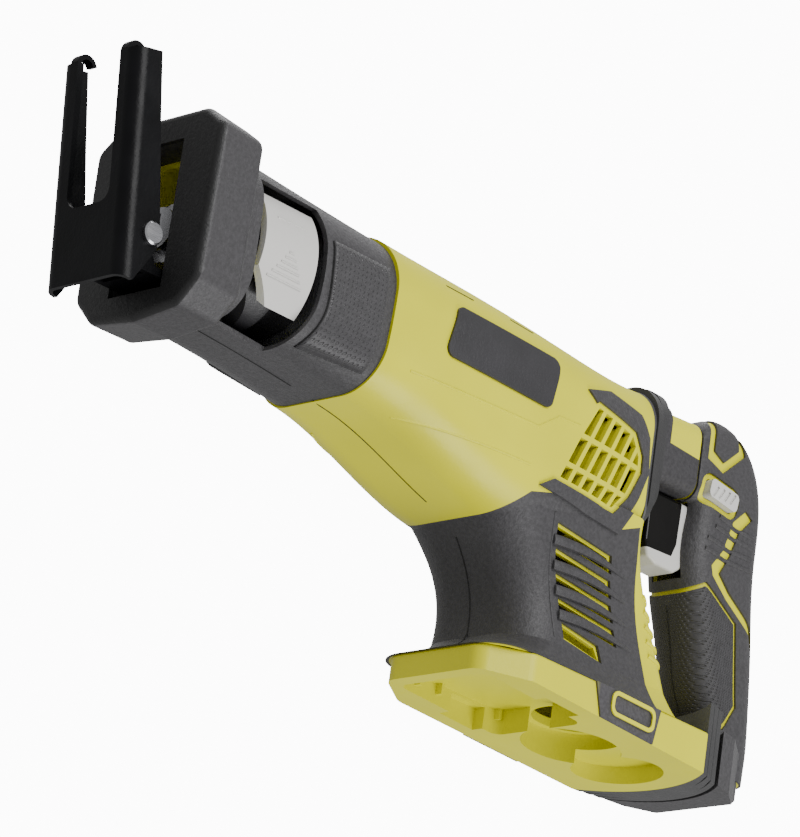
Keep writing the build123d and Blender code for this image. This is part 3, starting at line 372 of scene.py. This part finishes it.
# ------------------------------------------------------------------ setting out on the shells
HANDLE = ("handle_skin_left", "handle_skin_right", "handle_shell_left", "handle_shell_right",
          "palm_panel", "handle_top_inset")
NECK = ("neck_skin_left", "neck_skin_right", "neck_core_left", "neck_core_right")
BARREL = ("motor_housing_left", "motor_housing_right")
BOOT = ("front_boot_left", "front_boot_right")
BOTH = (LEFT, RIGHT)
TREES = {}


def shell_tree(*nodes):
    """Ray casting tree over several CAD nodes."""
    key = tuple(sorted(nodes))
    if key not in TREES:
        points = []
        faces = []
        for name in key:
            mesh = frame["nodes"][name].data
            start = len(points)
            points += [v.co.copy() for v in mesh.vertices]
            faces += [[start + i for i in p.vertices] for p in mesh.polygons]
        TREES[key] = BVHTree.FromPolygons(points, faces)
    return TREES[key]


def on_side(x, z, nodes, side, lift=0.0):
    """Point on the outside of the shells at a place of the side view, raised by lift (mm)."""
    start = at(x, 90 * side, z)
    hit, normal, _, _ = shell_tree(*nodes).ray_cast(start, Vector((0, -side, 0)))
    if hit is None:
        raise ValueError(f"no surface of {nodes} at {x}, {z}")
    if normal.y * side < 0:
        normal = -normal
    return hit + normal * lift / 1000


def resampled(points, step):
    """Points along a polyline, no further apart than step (mm)."""
    result = []
    for (x0, z0), (x1, z1) in zip(points, points[1:]):
        count = max(1, math.ceil(math.hypot(x1 - x0, z1 - z0) / step))
        result += [(x0 + (x1 - x0) * i / count, z0 + (z1 - z0) * i / count)
                   for i in range(count)]
    return result + [points[-1]]


def place_piece(piece, material, body):
    piece.data.materials.clear()
    piece.data.materials.append(material)
    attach(piece, body)
    return piece


def tube(name, paths, radius):
    """Round trims along paths of points, as one object made of live curves."""
    curve = bpy.data.curves.new(name, "CURVE")
    curve.dimensions = "3D"
    curve.bevel_depth = radius
    curve.bevel_resolution = 2
    curve.use_fill_caps = True
    for path in paths:
        line = curve.splines.new("POLY")
        line.points.add(len(path) - 1)
        for point, co in zip(line.points, path):
            point.co = (*co, 1)
    piece = bpy.data.objects.new(name, curve)
    bpy.context.scene.collection.objects.link(piece)
    return piece


def side_lines(name, lines, nodes, sides, radius, material, body, lift=0.0, step=2.5):
    """Trims that follow the shells along lines of the side view."""
    paths = []
    for side in sides:
        for line in lines:
            paths.append([on_side(x, z, nodes, side, lift) for x, z in resampled(line, step)])
    return place_piece(tube(name, paths, radius), material, body)


def mesh_piece(name, points, faces):
    mesh = bpy.data.meshes.new(name)
    mesh.from_pydata(points, [], faces)
    mesh.update()
    piece = bpy.data.objects.new(name, mesh)
    bpy.context.scene.collection.objects.link(piece)
    return piece


def smooth(piece):
    for face in piece.data.polygons:
        face.use_smooth = True


def panel(name, top, bottom, rows, nodes, sides, lift, thick, material, body):
    """Thin skin laid on the shells between a top and a bottom line of the side view."""
    points = []
    faces = []
    for side in sides:
        start = len(points)
        width = len(top)
        for row in range(rows + 1):
            t = row / rows
            for (x0, z0), (x1, z1) in zip(top, bottom):
                points.append(on_side(x0 + (x1 - x0) * t, z0 + (z1 - z0) * t, nodes, side,
                                      lift))
        for row in range(rows):
            for i in range(width - 1):
                a = start + row * width + i
                face = (a, a + width, a + width + 1, a + 1)
                faces.append(face if side == LEFT else face[::-1])
    piece = mesh_piece(name, points, faces)
    wall = piece.modifiers.new("Wall", "SOLIDIFY")
    wall.thickness = thick / 1000
    wall.offset = -1
    smooth(piece)
    return place_piece(piece, material, body)


# ------------------------------------------------------------------ operators
class SAW_OT_finish_nodes(bpy.types.Operator):
    """Gives every CAD node the finish of its material slot"""
    bl_idname = "saw.finish_nodes"
    bl_label = "Finish the frame"

    def execute(self, context):
        kit = finishes()
        # The guard's finish holds painted shade on its face, and the liner's finish holds painted light
        special = {"palm_panel": "grip_dimples", "nose_guard": "guard",
                   "nose_liner": "liner", "bellows_upper": "sleeve",
                   "base_plaques": "plaque", "blade_lever": "lever"}
        for part in frame["record"]["subparts"]:
            node = frame["nodes"][part["node"]]
            finish = special.get(part["node"], part["material_slot"])
            node.data.materials.clear()
            node.data.materials.append(kit[finish])
        return {"FINISHED"}


def area_light(name, place, target, size, power):
    light = bpy.data.lights.new(name, "AREA")
    light.shape = "RECTANGLE"
    light.size, light.size_y = size
    light.energy = power
    lamp = bpy.data.objects.new(name, light)
    bpy.context.scene.collection.objects.link(lamp)
    lamp.location = place
    lamp.rotation_euler = (Vector(target) - Vector(place)).to_track_quat("-Z", "Y").to_euler()
    return lamp


def floor_material():
    """Pale floor that is seen from above only, so the underside of the saw shows."""
    material = bpy.data.materials.new("Studio floor")
    material.use_nodes = True
    tree = material.node_tree
    shader = tree.nodes["Principled BSDF"]
    shader.inputs["Base Color"].default_value = (0.86, 0.86, 0.85, 1)
    shader.inputs["Roughness"].default_value = 0.9
    clear = add_node(tree, "ShaderNodeBsdfTransparent")
    below = add_node(tree, "ShaderNodeNewGeometry").outputs["Backfacing"]
    both = add_node(tree, "ShaderNodeMixShader", {0: below, 1: shader.outputs[0],
                                                  2: clear.outputs[0]})
    tree.links.new(both.outputs[0], tree.nodes["Material Output"].inputs["Surface"])
    return material


# Point the camera looks at (mm from the barrel's axis), brightness of the background as the
# camera sees it, and the lamps: place (m), size (m), power (W)
LOOKED_AT = (-21.39, 0, -30.06)
BACKGROUND = 12.0
LAMPS = {
    "Key light": ((-0.2, -2.1, 1.0), (1.3, 1.3), 46),
    "Top light": ((0.3, 0.5, 2.0), (1.4, 1.0), 26),
    "Under light": ((0.5, -1.0, -1.4), (1.2, 1.2), 30),
}


class SAW_OT_stage(bpy.types.Operator):
    """Sets up the camera, the floor and the soft lights"""
    bl_idname = "saw.stage"
    bl_label = "Stage"

    def execute(self, context):
        scene = context.scene
        s = scene.saw_stage
        a, e, r = s.azimuth, s.elevation, s.roll
        back = Vector((math.sin(a) * math.cos(e), -math.cos(a) * math.cos(e), math.sin(e)))
        right = Vector((0, 0, 1)).cross(back).normalized()
        up = back.cross(right)
        across = right * math.cos(r) + up * math.sin(r)
        upward = up * math.cos(r) - right * math.sin(r)
        target = at(*LOOKED_AT)
        data = bpy.data.cameras.new("Camera")
        data.lens = s.lens
        data.sensor_width = 36
        data.clip_start = 0.05
        data.dof.use_dof = False
        camera = bpy.data.objects.new("Camera", data)
        scene.collection.objects.link(camera)
        matrix = camera.matrix_world.copy()
        for i in range(3):
            matrix[i][0] = across[i]
            matrix[i][1] = upward[i]
            matrix[i][2] = back[i]
            matrix[i][3] = (target + back * s.distance)[i]
        camera.matrix_world = matrix
        scene.camera = camera
        w = s.floor / 2
        floor = mesh_piece("Floor", [(-w, -w, 0), (w, -w, 0), (w, w, 0), (-w, w, 0)],
                           [(0, 1, 2, 3)])
        floor.data.materials.append(floor_material())
        world = bpy.data.worlds.new("Studio")
        scene.world = world
        world.use_nodes = True
        tree = world.node_tree
        sky = tree.nodes["Background"]
        sky.inputs["Color"].default_value = (1, 1, 1, 1)
        seen = add_node(tree, "ShaderNodeLightPath").outputs["Is Camera Ray"]
        strength = add_node(tree, "ShaderNodeMapRange",
                            {"Value": seen, "To Min": s.sky, "To Max": BACKGROUND})
        tree.links.new(strength.outputs[0], sky.inputs["Strength"])
        for seen_by in ("visible_shadow", "visible_diffuse", "visible_glossy"):
            setattr(floor, seen_by, False)
        middle = at(0, 0, -20)
        lamps = [area_light(name, place, middle, size, power)
                 for name, (place, size, power) in LAMPS.items()]
        return {"FINISHED"}


def cast(place, direction, nodes):
    """First point of the shells met from a place (mm) in a direction."""
    hit, _, _, _ = shell_tree(*nodes).ray_cast(at(*place), Vector(direction))
    if hit is None:
        raise ValueError(f"nothing of {nodes} met from {place}")
    return hit


def flank(z):
    """Distance of the neck's flat side from the middle plane, beside the louvres (mm)."""
    point = on_side(46.0 - 0.33 * (z + 60), z, NECK, LEFT)
    return -point.y * 1000


# Louvre fins (mm): front end and top edge of the first, setback and drop of each next one,
# length, depth at the front end, and how far they stand proud
FIN_COUNT = 4
FIN_FRONT = 48.2
FIN_TOP = -64.6
FIN_SETBACK = 3.6
FIN_DROP = 10.4
FIN_LENGTH = 49.5
FIN_DEPTH = 4.8
FIN_PROUD = 2.0
# Inner faces of the fins below the neck's surface (mm)
FIN_ROOT = -1.2


class SAW_OT_louvres(bpy.types.Operator):
    """Makes the curved fins over the neck's slots and the edge of their panel"""
    bl_idname = "saw.louvres"
    bl_label = "Louvres"

    def execute(self, context):
        kit = finishes()
        stations = 10
        points = []
        faces = []
        for side in BOTH:
            for fin in range(FIN_COUNT):
                front = FIN_FRONT + FIN_SETBACK * fin
                top = FIN_TOP - FIN_DROP * fin
                start = len(points)
                for i in range(stations + 1):
                    t = i / stations
                    x = front + FIN_LENGTH * t
                    upper = top + 1.6 * math.sin(math.pi * t * 0.8) - 4.6 * t * t
                    depth = FIN_DEPTH * (1 - 0.72 * t * t)
                    proud = FIN_PROUD * math.sin(math.pi * min(1, 0.25 + t * 0.8)) + 0.25
                    y = flank(upper - depth / 2)
                    section = ((FIN_ROOT, 0.3), (0.6 * proud, 0), (proud, 0.55),
                               (0.9 * proud, 1), (FIN_ROOT, 0.9))
                    for lift, drop in section:
                        points.append(at(x, side * (y + lift), upper - depth * drop))
                corners = len(section)
                for i in range(stations):
                    for k in range(corners):
                        a = start + corners * i + k
                        b = start + corners * i + (k + 1) % corners
                        face = (a, b, b + corners, a + corners)
                        faces.append(face if side == RIGHT else face[::-1])
                end = start + corners * stations
                first = tuple(range(start, start + corners))
                last = tuple(range(end, end + corners))
                faces.append(first[::-1] if side == RIGHT else first)
                faces.append(last if side == RIGHT else last[::-1])
        fins = mesh_piece("Louvre_fins", points, faces)
        edge = fins.modifiers.new("Edge", "BEVEL")
        edge.width = 0.0003
        edge.segments = 2
        edge.limit_method = "ANGLE"
        edge.angle_limit = math.radians(28)
        smooth(fins)
        place_piece(fins, kit["grey_overmould"], "housing")
        side_lines("Louvre_panel_edge", [[(44.5, -56), (47.5, -66), (57.8, -109)]], NECK, BOTH,
                   0.0007, kit["grey_overmould"], "housing", lift=-0.25)
        return {"FINISHED"}


class SAW_OT_barrel_lines(bpy.types.Operator):
    """Makes the shoulder lines of the barrel, the ribs of the rear strip and the joints"""
    bl_idname = "saw.barrel_lines"
    bl_label = "Barrel lines"

    def execute(self, context):
        kit = finishes()
        seam = context.scene.saw_sizes.seam
        side_lines("Shoulder_lines", [[(-56, -26.5), (22, -24.7), (34, -16), (48, -15.4)],
                                      [(-50, -43.6), (20, -43.2)]], BARREL, BOTH, 0.0007,
                   kit["lime_plastic"], "housing", lift=-0.3)
        slits = [[(-38, 20.5), (-21, 20)], [(4, 20.3), (19, 19.6)]]
        side_lines("Housing_slits", slits, BARREL, BOTH, 0.00045, kit["seam"], "housing",
                   lift=-0.2)
        ribs = []
        for rib in range(5):
            low = -74.9 - 6.4 * rib
            ribs.append([(112.0 + 2.0 * rib, low + 2.3), (114.8 - 0.56 * (low + 70), low)])
        side_lines("Strip_ribs", ribs, NECK, BOTH, 0.0011, kit["lime_plastic"], "housing",
                   step=1.0)
        paths = []
        shells = BARREL + BOOT
        for z, way in ((-95, 1), (80, -1)):
            paths.append([cast((x, 0.35, z), (0, 0, way), BOOT) for x in range(-148, -84, 4)])
            rear = 4 if way > 0 else 90
            paths.append([cast((x, 0.35, z), (0, 0, way), shells)
                          for x in range(-74, rear, 4)])
        paths.append([cast((-60, 0.35, z), (1, 0, 0), NECK) for z in range(-70, -121, -4)])
        place_piece(tube("Housing_joint", paths, seam), kit["seam"], "housing")
        paths = [[cast((110, 0.3, z), (1, 0, 0), HANDLE) for z in range(-56, -108, -4)]]
        place_piece(tube("Handle_joint", paths, seam), kit["seam"], "handle")
        return {"FINISHED"}


def boot_rear(z):
    """Rear edge of the boot's side at a height (mm)."""
    x = -60.0
    while shell_tree(*BOOT).ray_cast(at(x, -90, z), Vector((0, 1, 0)))[0] is None:
        x -= 0.5
    return x


class SAW_OT_boot_panels(bpy.types.Operator):
    """Lays the dimpled panels on the boot behind the lever's window"""
    bl_idname = "saw.boot_panels"
    bl_label = "Boot panels"

    def execute(self, context):
        kit = finishes()
        count = 16
        top, height = 14, 48
        # The front edge bows forwards from its middle, more below than above
        rearmost, middle, bow_above, bow_below = -106.5, -8, 0.0033, 0.0087
        margin = 4.5
        heights = [top - height * i / count for i in range(count + 1)]
        front = [(rearmost - (bow_above if z > middle else bow_below) * (z - middle) ** 2, z)
                 for z in heights]
        rear = [(boot_rear(z) - margin, z) for z in heights]
        panel("Boot_panels", front, rear, count, BOOT, BOTH, 0.25, 0.8, kit["boot_dimples"],
              "housing")
        ring = front + rear[::-1] + [front[0]]
        side_lines("Boot_panel_grooves", [ring], BOOT, BOTH, 0.0004, kit["seam"], "housing")
        return {"FINISHED"}


# Side view of the vent, inside its rim (mm)
VENT_FIELD = [(37, -42.5), (58.5, -3), (83.5, -7.5), (89, -15), (89.5, -21.5), (83, -34.5),
              (76, -44)]


def inside(x, z, outline):
    """Whether a place of the side view lies in a convex outline."""
    turns = []
    for (x0, z0), (x1, z1) in zip(outline, outline[1:] + outline[:1]):
        turns.append((x1 - x0) * (z - z0) - (z1 - z0) * (x - x0) > 0)
    return all(turns) or not any(turns)


class SAW_OT_vent_blades(bpy.types.Operator):
    """Stands a deep blade behind every slanted bar of the vents"""
    bl_idname = "saw.vent_blades"
    bl_label = "Vent blades"

    def execute(self, context):
        kit = finishes()
        lean = math.radians(24)
        depth = 6.5
        bars, pitch, stride = 10, 7.2, 1.5
        first_x, middle_z = 38, -26
        points = []
        faces = []
        for side in BOTH:
            for bar in range(bars):
                rows = []
                for step in range(-20, 21):
                    x = first_x + pitch * bar + stride * step * math.sin(lean)
                    z = middle_z + stride * step * math.cos(lean)
                    if inside(x, z, VENT_FIELD):
                        rows.append(on_side(x, z, ("vent_grilles",), side, -1.2))
                for i, point in enumerate(rows):
                    points += [point, point - Vector((0, side * depth / 1000, 0))]
                    if i:
                        a = len(points) - 4
                        faces.append((a, a + 1, a + 3, a + 2))
        blades = mesh_piece("Vent_blades", points, faces)
        wall = blades.modifiers.new("Wall", "SOLIDIFY")
        wall.thickness = 0.0013
        wall.offset = 0
        place_piece(blades, kit["lime_plastic"], "housing")
        return {"FINISHED"}


class SAW_OT_lever_marks(bpy.types.Operator):
    """Raises the plain grip lines on the blade lever"""
    bl_idname = "saw.lever_marks"
    bl_label = "Lever marks"

    def execute(self, context):
        kit = finishes()
        middle = -131.5
        lines = []
        for i in range(6):
            half = 1.6 + 1.7 * i
            z = -1.0 - 2.5 * i
            lines.append([(middle - half, z), (middle + half, z)])
        lines.append([(-140.5, 12.5), (-122.5, 13.2)])
        side_lines("Lever_lines", lines, ("blade_lever",), (LEFT,), 0.00045,
                   kit["light_plastic"], "lever", lift=0.05)
        return {"FINISHED"}


class SAW_OT_handle_ribs(bpy.types.Operator):
    """Lays the soft ribs across the handle's bright curve"""
    bl_idname = "saw.handle_ribs"
    bl_label = "Handle ribs"

    def execute(self, context):
        kit = finishes()
        lines = [[(173, -11.5), (186, -14), (198, -14.5)],
                 [(171, -17), (186, -19), (198, -19.5)],
                 [(167, -23.5), (184, -25.5), (198, -25)],
                 [(166.5, -29), (184, -31), (198, -30.5)]]
        side_lines("Handle_ribs", lines, HANDLE, BOTH, context.scene.saw_sizes.rib,
                   kit["grey_overmould"], "handle", lift=-0.5, step=1.5)
        return {"FINISHED"}


class SAW_PT_panel(bpy.types.Panel):
    """Lists the saw's steps"""
    bl_label = "Saw"
    bl_idname = "SAW_PT_panel"
    bl_space_type = "VIEW_3D"
    bl_region_type = "UI"
    bl_category = "Saw"

    def draw(self, context):
        for group in (context.scene.saw_colours, context.scene.saw_sizes,
                      context.scene.saw_stage):
            box = self.layout.box()
            for key in group.__annotations__:
                box.prop(group, key)
        for operator in OPERATORS:
            self.layout.operator(operator.bl_idname)


OPERATORS = [SAW_OT_stage, SAW_OT_finish_nodes, SAW_OT_louvres, SAW_OT_barrel_lines,
             SAW_OT_boot_panels, SAW_OT_vent_blades, SAW_OT_lever_marks, SAW_OT_handle_ribs]
GROUPS = {"saw_colours": SawColours, "saw_sizes": SawSizes, "saw_stage": SawStage}


def register():
    for group in GROUPS.values():
        bpy.utils.register_class(group)
    for operator in OPERATORS:
        bpy.utils.register_class(operator)
    bpy.utils.register_class(SAW_PT_panel)
    for key, group in GROUPS.items():
        setattr(bpy.types.Scene, key, bpy.props.PointerProperty(type=group))


def unregister():
    for key in GROUPS:
        delattr(bpy.types.Scene, key)
    bpy.utils.unregister_class(SAW_PT_panel)
    for operator in reversed(OPERATORS):
        bpy.utils.unregister_class(operator)
    for group in GROUPS.values():
        bpy.utils.unregister_class(group)


def main():
    register()
    for operator in OPERATORS:
        name = operator.bl_idname.split(".")[1]
        getattr(bpy.ops.saw, name)()


if __name__ == "__main__":
    main()
